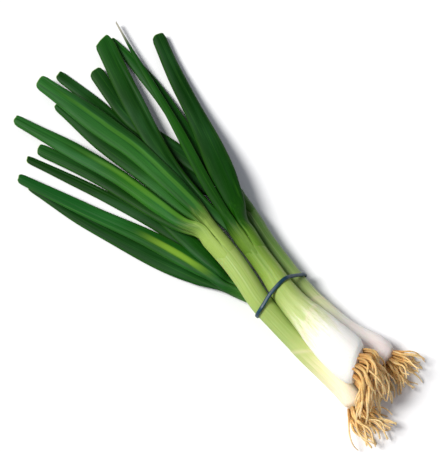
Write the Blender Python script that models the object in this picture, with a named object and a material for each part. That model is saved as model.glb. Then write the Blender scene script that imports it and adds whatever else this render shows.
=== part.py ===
"""Bunch of four spring onions held by a rubber band and lying on a flat surface.

The bunch lies along X: the roots point to +X, the leaf tips to -X, and Z = 0 is the surface.
Lengths are written in millimetres and turned into metres when a mesh is made.
Every onion is a bulb with its stem, a tuft of roots and its own leaves; each piece is one object.
"""

import math
from dataclasses import dataclass

import bpy
import numpy as np

# ------------------------------------------------------------------ driving dimensions, mm
MM = 0.001
CENTRE = (-52.57, -3.34, 0.1)       # middle of the whole bunch's underside, moved to the origin
PIECE_GAP = 0.35                   # clear space between neighbouring pieces
LAY_GAP = 0.45                     # clear space kept when one leaf is laid over another
LEAF_SIDES, LEAF_RINGS = 10, 18
STEM_SIDES, STEM_RINGS = 16, 24
ROOT_SIDES, ROOT_RINGS = 5, 6
ROOT_RADIUS, ROOT_TIP_RADIUS = 1.05, 0.55
PLATE_THICKNESS = 2.4              # disc that the roots grow from
BAND_RADIUS, BAND_CLEARANCE = 1.1, 0.5
BAND_X, BAND_SLANT = -2.6, 0.05    # the band crosses the bunch a little askew
BAND_STEPS = 48
WIDEN_LENGTH = 45.0                # a leaf reaches its full width this far from its fork
FLATTEN_LENGTH = 18.0              # and its own thickness this far from its fork
SMOOTH_BELOW = math.radians(50)


@dataclass(frozen=True)
class Stem:
    """Bulb and stem as stations (x, y, z, radius) from the root end to the fork."""

    stations: tuple[tuple[float, float, float, float], ...]


@dataclass(frozen=True)
class Leaf:
    """One leaf. `seat` is its place (sideways, up) on the end of the stem `onion`, and
    `seat_size` its width and thickness there. `path` holds plan points (x, y) out to the tip,
    `widths` the width near the fork, further out and at the tip, `fall` how far it takes to
    sink to the surface where nothing holds it up."""

    onion: str
    seat: tuple[float, float]
    seat_size: tuple[float, float]
    path: tuple[tuple[float, float], ...]
    widths: tuple[float, float, float]
    thickness: float
    fall: float


@dataclass(frozen=True)
class Tuft:
    """Roots of one onion: mean heading, spread sideways and up, length and number."""

    heading: tuple[float, float, float]
    spread: tuple[float, float]
    length: float
    droop: float
    count: int
    seed: int


STEMS = {
    "a": Stem((
        (75, -13.4, 7.6, 3.8), (71.5, -12.4, 8.0, 6.0), (62, -10.9, 8.2, 7.0),
        (47, -11.2, 8.4, 7.2), (33, -12.4, 9.6, 6.9), (18, -13.3, 12.2, 6.6),
        (8, -13.9, 15.0, 6.3), (-6, -14.3, 18.8, 6.2), (-21, -11.9, 20.4, 6.3),
        (-36, -9.9, 20.8, 6.6), (-52, -8.9, 20.4, 6.9),
    )),
    "b": Stem((
        (62.8, -0.2, 27.6, 4.8), (59.6, -0.5, 27.2, 9.6), (52.5, -1.4, 26.6, 12.2),
        (44, -1.9, 26.4, 12.2), (30, -1.8, 25.4, 10.8), (18, -1.7, 24.0, 9.2),
        (8, -1.3, 22.4, 8.1), (-4, 0.3, 20.6, 7.0), (-15, 2.3, 20.2, 6.2),
        (-28, 4.0, 20.4, 6.0), (-41, 6.0, 20.8, 6.6),
    )),
    "c": Stem((
        (68, 20.4, 8.4, 4.0), (65.5, 19.7, 8.8, 7.2), (59.5, 17.9, 9.2, 8.8),
        (50, 15.2, 9.0, 8.3), (38, 12.6, 8.8, 7.2), (20, 11.3, 9.0, 6.5),
        (0, 11.6, 9.6, 6.1), (-30, 14.8, 9.6, 6.1), (-46, 18.0, 9.2, 6.2),
        (-62, 20.6, 8.6, 6.3),
    )),
    "d": Stem((
        (46, 0.2, 5.0, 2.6), (44, 0.2, 5.0, 4.1), (38, 0.1, 5.1, 4.7),
        (28, 0.1, 5.4, 4.6), (15, -2.2, 6.6, 4.6), (0, -7.8, 7.7, 4.7),
        (-22, -16.2, 7.2, 5.4),
    )),
}

# In laying order: each leaf rests on the surface, on the stems c and d, or on the leaves above it here.
LEAVES = {
    "c_leaf_4": Leaf("c", (-3.3, -2.4), (5.4, 4.4),
                     ((-85, 12), (-115, 6.5), (-145, 2.5), (-174, 0.4), (-204, -4.1)),
                     (9.5, 9, 7), 3.6, 60),
    "c_leaf_3": Leaf("c", (3.3, -2.4), (5.4, 4.4),
                     ((-85, 20), (-115, 15.5), (-150, 9.4), (-190, 14.4)),
                     (10, 10, 9.5), 3.6, 60),
    "c_leaf_2": Leaf("c", (-3.1, 2.6), (5.8, 4.6),
                     ((-85, 22.5), (-115, 27.5), (-150, 34), (-180, 36.6), (-200, 36.4)),
                     (10, 9, 5.5), 3.8, 80),
    "c_leaf_1": Leaf("c", (3.1, 2.6), (5.8, 4.6),
                     ((-85, 31), (-110, 39), (-132, 46)),
                     (9, 8, 6), 3.8, 80),
    "d_leaf_4": Leaf("d", (2.6, -2.2), (4.6, 3.8),
                     ((-45, -17.5), (-80, -22.5), (-120, -34.8), (-150, -46), (-172.7, -55)),
                     (8, 7, 5), 3.2, 50),
    "d_leaf_3": Leaf("d", (-3.0, -2.2), (4.6, 3.8),
                     ((-45, -29.5), (-80, -43), (-120, -55.8), (-163, -68.4)),
                     (10, 8, 5), 3.6, 50),
    "d_leaf_2": Leaf("d", (-2.8, 2.3), (5.0, 4.0),
                     ((-45, -24), (-80, -33.6), (-120, -49.8), (-165, -67)),
                     (11.5, 9, 5), 3.6, 70),
    "d_leaf_1": Leaf("d", (2.8, 2.3), (5.0, 4.0),
                     ((-45, -18), (-70, -18.4), (-110, -20), (-155, -27)),
                     (10, 8, 5), 3.6, 90),
    "a_leaf_4": Leaf("a", (-3.4, -3.0), (6.0, 5.0),
                     ((-80, -19.5), (-134, -31.5), (-172.7, -45.7)),
                     (9, 9, 8), 3.6, 110),
    "a_leaf_3": Leaf("a", (3.4, -3.0), (6.0, 5.0),
                     ((-80, -6.6), (-110, -8.7), (-145, -14), (-188, -19.1)),
                     (12.5, 10.5, 5), 4.2, 110),
    "b_leaf_3": Leaf("b", (-3.2, -2.8), (5.6, 5.0),
                     ((-74, 1.5), (-114, 6), (-156, 17), (-203.9, 32.1)),
                     (9, 13.5, 12.5), 4.2, 120),
    "b_leaf_1": Leaf("b", (3.2, 0.4), (6.0, 9.4),
                     ((-64, 17.3), (-107, 34.2), (-153, 49.3), (-181.8, 59.9)),
                     (15.5, 11, 9), 5.5, 120),
    "b_leaf_2": Leaf("b", (-3.1, 3.4), (5.6, 5.0),
                     ((-81, 11.8), (-129, 26.5), (-178, 38.8), (-206, 46)),
                     (6.8, 4.5, 0.9), 3.0, 130),
    "a_leaf_2": Leaf("a", (-3.5, 3.0), (6.2, 5.6),
                     ((-76, -17), (-120, -22.8), (-150, -30), (-167, -34.8), (-196.8, -44.2)),
                     (9.5, 11, 7), 4.6, 130),
    "a_leaf_1": Leaf("a", (3.5, 3.0), (6.2, 5.6),
                     ((-78, -3.8), (-125, -4), (-150, -7.2), (-175, -11), (-206.4, -16.8)),
                     (12.5, 15.5, 10), 5.0, 140),
}

TUFTS = {
    "a": Tuft((1.0, 0.06, -0.05), (0.26, 0.30), 26.0, 7.0, 10, 3),
    "b": Tuft((1.0, -0.16, -0.12), (0.40, 0.28), 29.0, 9.0, 11, 5),
    "c": Tuft((1.0, 0.22, 0.00), (0.44, 0.26), 22.0, 6.0, 10, 8),
    "d": Tuft((1.0, 0.00, -0.04), (0.16, 0.20), 20.0, 3.0, 7, 13),
}

COLOURS = {
    "stem": (0.72, 0.80, 0.46, 1.0),
    "leaf": (0.06, 0.20, 0.06, 1.0),
    "roots": (0.66, 0.46, 0.22, 1.0),
    "band": (0.01, 0.05, 0.08, 1.0),
}


# ------------------------------------------------------------------ curves
def smoothstep(value):
    """0 below 0, 1 above 1, with level ends."""
    value = np.clip(value, 0.0, 1.0)
    return value * value * (3.0 - 2.0 * value)


def spline(points, count):
    """Smooth curve through the rows of `points`, as `count` rows evenly spaced along it."""
    p = np.asarray(points, float)
    p = np.vstack([2 * p[0] - p[1], p, 2 * p[-1] - p[-2]])
    t = np.linspace(0.0, 1.0, 24, endpoint=False)[:, None]
    spans = [
        0.5 * (2 * b + (c - a) * t + (2 * a - 5 * b + 4 * c - d) * t**2
               + (3 * b - a - 3 * c + d) * t**3)
        for a, b, c, d in zip(p[:-3], p[1:-2], p[2:-1], p[3:])
    ]
    fine = np.vstack(spans + [p[-2:-1]])
    travelled = np.concatenate([[0.0], np.cumsum(np.linalg.norm(np.diff(fine[:, :3], axis=0), axis=1))])
    even = np.linspace(0.0, travelled[-1], count)
    return np.stack([np.interp(even, travelled, column) for column in fine.T], axis=1)


def unit(rows):
    """The rows scaled to length 1."""
    return rows / np.linalg.norm(rows, axis=-1, keepdims=True)


def sideways(plan):
    """Level unit vector across a plan path, pointing to +Y where the path runs to -X."""
    along = unit(np.gradient(plan[:, :2], axis=0))
    return np.stack([along[:, 1], -along[:, 0]], axis=1)


def frames(centre, side):
    """Unit vectors across and above a path, square to it."""
    along = unit(np.gradient(centre, axis=0))
    across = np.column_stack([side, np.zeros(len(side))])
    across = unit(across - along * np.sum(across * along, axis=1, keepdims=True))
    above = np.cross(along, across)
    return across, above * np.sign(above[:, 2:3])


# ------------------------------------------------------------------ the pile of leaves
class Pile:
    """Height of everything laid so far, on a square grid over the surface."""

    CELL, LOW, HIGH = 0.5, (-215.0, -80.0), (110.0, 75.0)

    def __init__(self):
        shape = [int((h - l) / self.CELL) + 1 for l, h in zip(self.LOW, self.HIGH)]
        self.height = np.zeros(shape)

    def cells(self, points):
        index = np.round((points - np.array(self.LOW)) / self.CELL).astype(int)
        limit = np.array(self.height.shape) - 1
        index = np.clip(index, 0, limit)
        return index[..., 0], index[..., 1]

    def support(self, plan, side, width, thickness):
        """Lowest height of a flat tube's centre, at each of its stations, that clears the pile."""
        across = np.linspace(-1.0, 1.0, 25)
        points = plan[:, None] + side[:, None] * (across[None, :, None] * width[:, None, None] / 2)
        below = self.height[self.cells(points)]
        below = np.where(below > 0, below + LAY_GAP, 0.0)
        return np.max(below + np.sqrt(1 - across**2) * thickness[:, None] / 2, axis=1)

    def add(self, plan, side, width, thickness, centre):
        """Raises the pile to the top of a flat tube."""
        rows = np.arange(len(plan))
        fine = np.linspace(0, len(plan) - 1, 8 * (len(plan) - 1) + 1)
        plan, side = (np.stack([np.interp(fine, rows, c) for c in v.T], axis=1) for v in (plan, side))
        width, thickness, centre = (np.interp(fine, rows, v) for v in (width, thickness, centre))
        across = np.linspace(-1.0, 1.0, 61)
        points = plan[:, None] + side[:, None] * (across[None, :, None] * width[:, None, None] / 2)
        top = centre[:, None] + np.sqrt(1 - across**2) * thickness[:, None] / 2
        np.maximum.at(self.height, self.cells(points), top)


def lay_leaf(leaf, axis, pile):
    """Centre line, sideways vectors, widths and thicknesses of a leaf laid on the pile."""
    end = axis[-1, :3]
    along = unit(axis[-1, :3] - axis[-3, :3])
    across = unit(np.array([along[1], -along[0], 0.0]))
    above = np.cross(along, across)
    above *= np.sign(above[2])
    start = end + along * 0.6 + across * leaf.seat[0] + above * leaf.seat[1]
    plan = spline([start[:2], (start + along * 8.0)[:2], *leaf.path], 49)
    run = np.concatenate([[0.0], np.cumsum(np.linalg.norm(np.diff(plan, axis=0), axis=1))])
    part = run / run[-1]
    near, far, tip = leaf.widths
    body = near + (far - near) * smoothstep((part - 0.3) / 0.4)
    body += (tip - far) * smoothstep((part - 0.68) / 0.32)
    grown = smoothstep(run / WIDEN_LENGTH)
    width = leaf.seat_size[0] * (1 - grown) + body * grown
    flat = smoothstep(run / FLATTEN_LENGTH)
    thickness = leaf.seat_size[1] * (1 - flat) + leaf.thickness * (1 - 0.15 * part) * flat
    side = sideways(plan)
    held = pile.support(plan, side, width, thickness)
    straight = start[2] + along[2] * run
    height = straight + (thickness[-1] / 2 - straight) * smoothstep(run / leaf.fall)
    height = np.maximum(held, height)
    seated = 1.0 - smoothstep((run - 2.0) / 12.0)
    for _ in range(300):
        eased = height.copy()
        eased[1:-1] = 0.25 * height[:-2] + 0.5 * height[1:-1] + 0.25 * height[2:]
        eased[-1] = height[-2]
        height = np.maximum(eased, held) * (1 - seated) + straight * seated
    pile.add(plan, side, width, thickness, height)
    return np.column_stack([plan, height]), side, width, thickness


# ------------------------------------------------------------------ meshes
def sweep(centre, across, above, width, thickness, sides):
    """Vertices and faces of a capped elliptical tube along a path, facing outwards."""
    turn = np.linspace(0.0, 2 * np.pi, sides, endpoint=False)
    rings = (centre[:, None]
             + across[:, None] * (np.cos(turn)[None, :, None] * width[:, None, None] / 2)
             + above[:, None] * (np.sin(turn)[None, :, None] * thickness[:, None, None] / 2))
    last = (len(centre) - 1) * sides
    faces = [tuple(range(sides)), tuple(reversed(range(last, last + sides)))]
    for i in range(0, last, sides):
        for j in range(sides):
            k = (j + 1) % sides
            faces.append((i + j, i + sides + j, i + sides + k, i + k))
    along = centre[1] - centre[0]
    if np.dot(np.cross(across[0], above[0]), along) > 0:
        faces = [tuple(reversed(face)) for face in faces]
    return rings.reshape(-1, 3), faces


def new_material(name, colour, roughness):
    material = bpy.data.materials.new(name)
    material.use_nodes = True
    shader = material.node_tree.nodes["Principled BSDF"]
    shader.inputs["Base Color"].default_value = colour
    shader.inputs["Roughness"].default_value = roughness
    material.diffuse_color = colour
    return material


def add_object(name, points, faces, colour, collection):
    """A smooth mesh object with its own Principled material."""
    mesh = bpy.data.meshes.new(name)
    mesh.from_pydata(((points - np.array(CENTRE)) * MM).tolist(), [], faces)
    mesh.shade_smooth()
    mesh.set_sharp_from_angle(angle=SMOOTH_BELOW)
    mesh.materials.append(new_material(name, colour, 0.5))
    obj = bpy.data.objects.new(name, mesh)
    collection.objects.link(obj)
    return obj


def add_stem(onion, stem, collection):
    """Bulb and stem; returns its axis as rows (x, y, z, radius)."""
    axis = spline(stem.stations, 60)
    rows = spline(stem.stations, STEM_RINGS)
    rows = np.vstack([rows[0], spline(stem.stations, 4 * STEM_RINGS)[2], rows[1:]])
    across, above = frames(rows[:, :3], sideways(rows))
    points, faces = sweep(rows[:, :3], across, above, 2 * rows[:, 3], 2 * rows[:, 3], STEM_SIDES)
    add_object(f"onion_{onion}_bulb_stem", points, faces, COLOURS["stem"], collection)
    return axis


def strand(start, heading, length, droop, bend, radius, tip_radius):
    """One root: a tapering tube that droops and settles on the surface."""
    t = np.linspace(0.0, 1.0, ROOT_RINGS)
    side = unit(np.cross(heading, [0.0, 0.0, 1.0]))
    path = start + heading * (length * t)[:, None] + side * (bend * np.sin(3.0 * t) * t)[:, None]
    path[:, 2] -= droop * t**2
    thick = radius + (tip_radius - radius) * t
    floor = thick + 0.15
    path[:, 2] = floor + np.log1p(np.exp((path[:, 2] - floor) / 0.8)) * 0.8
    across, above = frames(path, sideways(path))
    return sweep(path, across, above, 2 * thick, 2 * thick, ROOT_SIDES)


def add_roots(onion, tuft, stem, collection, strands):
    """Root plate with its roots joined to it."""
    first, second = (np.array(row[:3], float) for row in stem.stations[:2])
    away = unit(first - second)
    plate_radius = stem.stations[0][3] * 0.92
    ends = np.array([first + away * PIECE_GAP, first + away * (PIECE_GAP + PLATE_THICKNESS * 0.55),
                     first + away * (PIECE_GAP + PLATE_THICKNESS)])
    across, above = frames(ends, sideways(ends))
    size = 2 * plate_radius * np.array([1.0, 0.92, 0.62])
    plate = add_object(f"onion_{onion}_roots", *sweep(ends, across, above, size, size, 14),
                       COLOURS["roots"], collection)
    rng = np.random.default_rng(tuft.seed)
    heading = unit(np.array(tuft.heading))
    side = unit(np.cross([0.0, 0.0, 1.0], heading))
    up = np.cross(heading, side)
    for i in range(tuft.count):
        turn, reach = 2.399963 * i + rng.uniform(-0.2, 0.2), np.sqrt((i + 0.5) / tuft.count)
        fan = np.array([np.cos(turn), np.sin(turn)]) * reach
        start = ends[1] + (side * fan[0] + up * fan[1]) * plate_radius * 0.62 - away * 0.4
        way = unit(heading + side * fan[0] * tuft.spread[0] + up * fan[1] * tuft.spread[1])
        length = tuft.length * rng.uniform(0.82, 1.0)
        points, faces = strand(start, way, length, tuft.droop * rng.uniform(0.8, 1.1),
                               rng.uniform(-2.2, 2.2), ROOT_RADIUS * rng.uniform(0.85, 1.1),
                               ROOT_TIP_RADIUS)
        root = add_object(f"{onion}_root_{i}", points, faces, COLOURS["roots"], strands)
        root.hide_render = True
        root.display_type = "WIRE"
        joined = plate.modifiers.new(f"root_{i}", "BOOLEAN")
        joined.operation, joined.solver, joined.object = "UNION", "EXACT", root


def add_band(axes, collection):
    """Rubber band: a round-section curve along the shortest loop round the stems it crosses."""
    rounds = []
    for axis in axes.values():
        gap = axis[:, 0] - (BAND_X + BAND_SLANT * axis[:, 1])
        row = axis[np.argmin(np.abs(gap))]
        rounds.append((row[1], row[2], row[3] + BAND_CLEARANCE + BAND_RADIUS))
    rounds = np.array(rounds)
    turn = np.linspace(0.0, 2 * np.pi, 720, endpoint=False)
    outwards = np.stack([np.cos(turn), np.sin(turn)], axis=1)
    reach = rounds[:, :2] @ outwards.T + rounds[:, 2:]
    touched = rounds[np.argmax(reach, axis=0)]
    loop = touched[:, :2] + outwards * touched[:, 2:]
    step = np.linalg.norm(np.roll(loop, -1, axis=0) - loop, axis=1)
    travelled = np.concatenate([[0.0], np.cumsum(step)])
    even = np.linspace(0.0, travelled[-1], BAND_STEPS, endpoint=False)
    wrapped = np.vstack([loop, loop[:1]])
    loop = np.stack([np.interp(even, travelled, wrapped[:, k]) for k in (0, 1)], axis=1)
    centre = np.column_stack([BAND_X + BAND_SLANT * loop[:, 0], loop])
    centre = (centre - np.array(CENTRE)) * MM
    curve = bpy.data.curves.new("rubber_band", "CURVE")
    curve.dimensions = "3D"
    curve.bevel_depth = BAND_RADIUS * MM
    curve.bevel_resolution = 1
    ring = curve.splines.new("POLY")
    ring.points.add(BAND_STEPS - 1)
    ring.points.foreach_set("co", np.column_stack([centre, np.ones(BAND_STEPS)]).ravel())
    ring.use_cyclic_u = True
    curve.materials.append(new_material("rubber_band", COLOURS["band"], 0.6))
    collection.objects.link(bpy.data.objects.new("rubber_band", curve))


def clear_scene():
    for obj in list(bpy.data.objects):
        bpy.data.objects.remove(obj, do_unlink=True)


def new_collection(name):
    collection = bpy.data.collections.new(name)
    bpy.context.scene.collection.children.link(collection)
    return collection


def main():
    clear_scene()
    bunch = new_collection("spring_onion_bunch")
    strands = new_collection("root_strands")
    axes = {onion: add_stem(onion, stem, bunch) for onion, stem in STEMS.items()}
    pile = Pile()
    for onion in ("c", "d"):
        axis = axes[onion]
        pile.add(axis[:, :2], sideways(axis), 2 * axis[:, 3], 2 * axis[:, 3], axis[:, 2])
    for name, leaf in LEAVES.items():
        centre, side, width, thickness = lay_leaf(leaf, axes[leaf.onion], pile)
        keep = np.linspace(0, len(centre) - 1, LEAF_RINGS).round().astype(int)
        across, above = frames(centre, side)
        points, faces = sweep(centre[keep], across[keep], above[keep], width[keep], thickness[keep],
                              LEAF_SIDES)
        add_object(f"onion_{name}", points, faces, COLOURS["leaf"], bunch)
    for onion, tuft in TUFTS.items():
        add_roots(onion, tuft, STEMS[onion], bunch, strands)
    add_band(axes, bunch)


main()
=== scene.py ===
"""Bunch of four spring onions held by a rubber band and lying on a pale surface.

The bunch lies along X: roots towards +X, leaf tips towards -X, Z = 0 is the surface.
Shapes are worked out in millimetres and turned into metres when a mesh is made. Every leaf,
stem, root tuft and the band stands for the solid of the same name, at the same place.
"""

from __future__ import annotations

import logging
import math
from dataclasses import dataclass, field
from enum import Enum
from typing import Iterable, Sequence

import bpy
import numpy as np
from mathutils import Matrix, Vector


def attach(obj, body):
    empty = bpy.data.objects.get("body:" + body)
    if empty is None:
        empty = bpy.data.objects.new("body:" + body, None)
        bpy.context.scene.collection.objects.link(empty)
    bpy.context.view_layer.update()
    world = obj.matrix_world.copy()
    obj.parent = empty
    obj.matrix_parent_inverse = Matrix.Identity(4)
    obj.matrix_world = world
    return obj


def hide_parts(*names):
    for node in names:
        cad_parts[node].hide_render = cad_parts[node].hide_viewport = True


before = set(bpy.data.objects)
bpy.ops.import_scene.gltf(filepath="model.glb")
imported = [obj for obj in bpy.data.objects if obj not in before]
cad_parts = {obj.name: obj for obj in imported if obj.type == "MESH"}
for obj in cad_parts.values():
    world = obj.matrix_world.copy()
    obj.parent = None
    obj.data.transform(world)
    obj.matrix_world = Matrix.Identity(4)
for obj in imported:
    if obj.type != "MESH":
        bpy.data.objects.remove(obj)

LOG = logging.getLogger("spring_onions")
MM = 0.001
CENTRE = np.array([-52.57, -3.34, 0.1])     # middle of the bunch's underside in the layout below
LAY_GAP = 0.45                              # clear space between crossing leaves, mm
WIDEN_LENGTH, FLATTEN_LENGTH = 45.0, 18.0   # how soon a leaf reaches its own width, thickness
STATIONS = 49                               # stations used to lay a leaf
GOLDEN_ANGLE = 2.399963                     # turn from one root to the next, radians
TILT_REACH = 32.0                           # how far a slanted root end reaches up its bulb, mm
Colour = tuple[float, float, float, float]


class Layer(Enum):
    """Which side of a leaf or stem a vertex belongs to."""

    SKIN = 0.0
    CUT = 0.5
    HOLLOW = 1.0


# ---------------------------------------------------------------------------- small maths
def smoothstep(value: np.ndarray | float) -> np.ndarray:
    """0 below 0 and 1 above 1 with level ends: v * v * (3 - 2 v)."""
    value = np.clip(value, 0.0, 1.0)
    return value * value * (3.0 - 2.0 * value)


def unit(rows: np.ndarray) -> np.ndarray:
    """Each row divided by its length."""
    return rows / np.linalg.norm(rows, axis=-1, keepdims=True)


def spline(points: Sequence[Sequence[float]], count: int) -> np.ndarray:
    """Smooth curve through the given rows, evenly spaced by length.

    Each span is the cubic whose ends are two neighbouring rows and whose end slopes are
    half the chord between the rows on either side of each end.

    Args:
        points: rows whose first columns are a position in mm.
        count: number of rows returned.

    Returns:
        Array of `count` rows.
    """
    p = np.asarray(points, float)
    p = np.vstack([2 * p[0] - p[1], p, 2 * p[-1] - p[-2]])
    t = np.linspace(0.0, 1.0, 24, endpoint=False)[:, None]
    spans = [
        0.5 * (2 * b + (c - a) * t + (2 * a - 5 * b + 4 * c - d) * t**2
               + (3 * b - a - 3 * c + d) * t**3)
        for a, b, c, d in zip(p[:-3], p[1:-2], p[2:-1], p[3:])
    ]
    fine = np.vstack(spans + [p[-2:-1]])
    travelled = run_of(fine[:, :3])
    even = np.linspace(0.0, travelled[-1], count)
    return np.stack([np.interp(even, travelled, column) for column in fine.T], axis=1)


def run_of(points: np.ndarray) -> np.ndarray:
    """Distance travelled along a path at each of its points."""
    return np.concatenate([[0.0], np.cumsum(np.linalg.norm(np.diff(points, axis=0), axis=1))])


def sideways(plan: np.ndarray) -> np.ndarray:
    """Level unit vector across a plan path, pointing to +Y where the path runs to -X."""
    along = unit(np.gradient(plan[:, :2], axis=0))
    return np.stack([along[:, 1], -along[:, 0]], axis=1)


def frames(centre: np.ndarray, side: np.ndarray) -> tuple[np.ndarray, np.ndarray]:
    """Unit vectors across and above a path, both square to it.

    Args:
        centre: path points.
        side: level sideways vectors, two columns.

    Returns:
        The across and the above vectors; above never points down.
    """
    along = unit(np.gradient(centre, axis=0))
    across = np.column_stack([side, np.zeros(len(side))])
    across = unit(across - along * np.sum(across * along, axis=1, keepdims=True))
    above = np.cross(along, across)
    return across, above * np.where(above[:, 2:3] < 0, -1.0, 1.0)


def ripple(x: np.ndarray, y: np.ndarray, seed: int, waves: int = 5) -> np.ndarray:
    """Gentle unevenness in -1 to 1: a sum of sines of random direction and phase.

    Args:
        x: first coordinate, radians per unit already applied.
        y: second coordinate.
        seed: picks the directions and phases.
        waves: number of sines.

    Returns:
        Array of the broadcast shape of x and y.
    """
    rng = np.random.default_rng(seed)
    total = 0.0
    for _ in range(waves):
        fx, fy = rng.uniform(0.4, 1.6, 2) * rng.choice([-1, 1], 2)
        total = total + np.sin(fx * x + fy * y + rng.uniform(0, 2 * np.pi))
    return total / waves


def srgb(red: int, green: int, blue: int) -> Colour:
    """Screen colour 0 to 255 as the linear colour that a shader takes."""
    def linear(value: int) -> float:
        part = value / 255
        return part / 12.92 if part <= 0.04045 else ((part + 0.055) / 1.055) ** 2.4
    return (linear(red), linear(green), linear(blue), 1.0)


# ---------------------------------------------------------------------------- shader kit
class Signal:
    """A number socket; arithmetic on it adds Math nodes to its material."""

    def __init__(self, graph: "Graph", socket: bpy.types.NodeSocket) -> None:
        """Wraps `socket` of `graph`."""
        self.graph, self.socket = graph, socket

    def _math(self, operation: str, *values: "Signal | float") -> "Signal":
        """Adds one Math node with the given operation and inputs."""
        node = self.graph.node("ShaderNodeMath", {"operation": operation}, dict(enumerate(values)))
        return Signal(self.graph, node.outputs[0])

    def __add__(self, other: "Signal | float") -> "Signal":
        """self + other."""
        return self._math("ADD", self, other)

    __radd__ = __add__

    def __sub__(self, other: "Signal | float") -> "Signal":
        """self - other."""
        return self._math("SUBTRACT", self, other)

    def __rsub__(self, other: "Signal | float") -> "Signal":
        """other - self."""
        return self._math("SUBTRACT", other, self)

    def __mul__(self, other: "Signal | float") -> "Signal":
        """self * other."""
        return self._math("MULTIPLY", self, other)

    __rmul__ = __mul__

    def __truediv__(self, other: "Signal | float") -> "Signal":
        """self / other."""
        return self._math("DIVIDE", self, other)

    def step(self, low: float, high: float) -> "Signal":
        """Smooth 0 to 1 between low and high."""
        node = self.graph.node(
            "ShaderNodeMapRange", {"interpolation_type": "SMOOTHSTEP"},
            {"Value": self, "From Min": low, "From Max": high, "To Min": 0.0, "To Max": 1.0})
        return Signal(self.graph, node.outputs["Result"])


class Graph:
    """One material's node tree, ending in a Principled shader."""

    def __init__(self, name: str) -> None:
        """Starts an empty tree with its output and Principled nodes."""
        self.material = bpy.data.materials.new(name)
        self.material.use_nodes = True
        self.tree = self.material.node_tree
        self.tree.nodes.clear()
        self.out = self.tree.nodes.new("ShaderNodeOutputMaterial")
        self.shader = self.tree.nodes.new("ShaderNodeBsdfPrincipled")
        self.tree.links.new(self.shader.outputs[0], self.out.inputs["Surface"])

    def node(self, kind: str, settings: dict | None = None, sockets: dict | None = None) -> bpy.types.Node:
        """Adds a node.

        Args:
            kind: the node's type.
            settings: attributes set first; `stops` holds a ramp's (position, colour) pairs.
            sockets: input name or number to a constant or a link.

        Returns:
            The node.
        """
        node = self.tree.nodes.new(kind)
        for key, value in (settings or {}).items():
            if key == "stops":
                elements = node.color_ramp.elements
                while len(elements) < len(value):
                    elements.new(0.5)
                for element, (place, colour) in zip(elements, value):
                    element.position, element.color = place, colour
            else:
                setattr(node, key, value)
        for key, value in (sockets or {}).items():
            self.feed(node.inputs[key], value)
        return node

    def feed(self, socket: bpy.types.NodeSocket, value: object) -> None:
        """Links a Signal or a socket to `socket`, or sets a constant."""
        if isinstance(value, Signal):
            value = value.socket
        if isinstance(value, bpy.types.NodeSocket):
            self.tree.links.new(value, socket)
        else:
            socket.default_value = value

    def set(self, **constants: object) -> None:
        """Sets constants on the Principled shader; underscores stand for spaces."""
        for key, value in constants.items():
            self.shader.inputs[key.replace("_", " ")].default_value = value

    def value(self, name: str) -> Signal:
        """The piece's own number attribute `name`."""
        node = self.node("ShaderNodeAttribute", {"attribute_name": name})
        return Signal(self, node.outputs["Fac"])

    def vector(self, name: str, stretch: Sequence[float]) -> bpy.types.NodeSocket:
        """The piece's own vector attribute `name`, multiplied by `stretch`."""
        node = self.node("ShaderNodeAttribute", {"attribute_name": name})
        scaled = self.node("ShaderNodeVectorMath", {"operation": "MULTIPLY"},
                           {0: node.outputs["Vector"], 1: tuple(stretch)})
        return scaled.outputs[0]

    def across(self, name: str) -> Signal:
        """The first part of the piece's own vector attribute `name`."""
        node = self.node("ShaderNodeAttribute", {"attribute_name": name})
        return Signal(self, self.node("ShaderNodeSeparateXYZ", {}, {0: node.outputs["Vector"]}).outputs[0])

    def noise(self, vector: bpy.types.NodeSocket, scale: float = 1.0, detail: float = 2.0,
              roughness: float = 0.5) -> Signal:
        """Fractal noise, 0 to 1, over `vector`."""
        node = self.node("ShaderNodeTexNoise", {}, {
            "Vector": vector, "Scale": scale, "Detail": detail, "Roughness": roughness})
        return Signal(self, node.outputs["Fac"])

    def ramp(self, factor: Signal, stops: Sequence[tuple[float, Colour]]) -> bpy.types.NodeSocket:
        """Colour read from a ramp."""
        return self.node("ShaderNodeValToRGB", {"stops": stops}, {"Fac": factor}).outputs["Color"]

    def mix(self, factor: Signal, first: object, second: object) -> bpy.types.NodeSocket:
        """Mixes two colours: `first` where the factor is 0, `second` where it is 1."""
        node = self.node("ShaderNodeMix", {"data_type": "RGBA"}, {0: factor, 6: first, 7: second})
        return node.outputs[2]

    def bump(self, height: Signal, strength: float, distance: float) -> None:
        """Feeds a height in `distance` metres to the shader's normal."""
        node = self.node("ShaderNodeBump", {}, {"Height": height, "Strength": strength, "Distance": distance})
        self.feed(self.shader.inputs["Normal"], node.outputs["Normal"])


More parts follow.
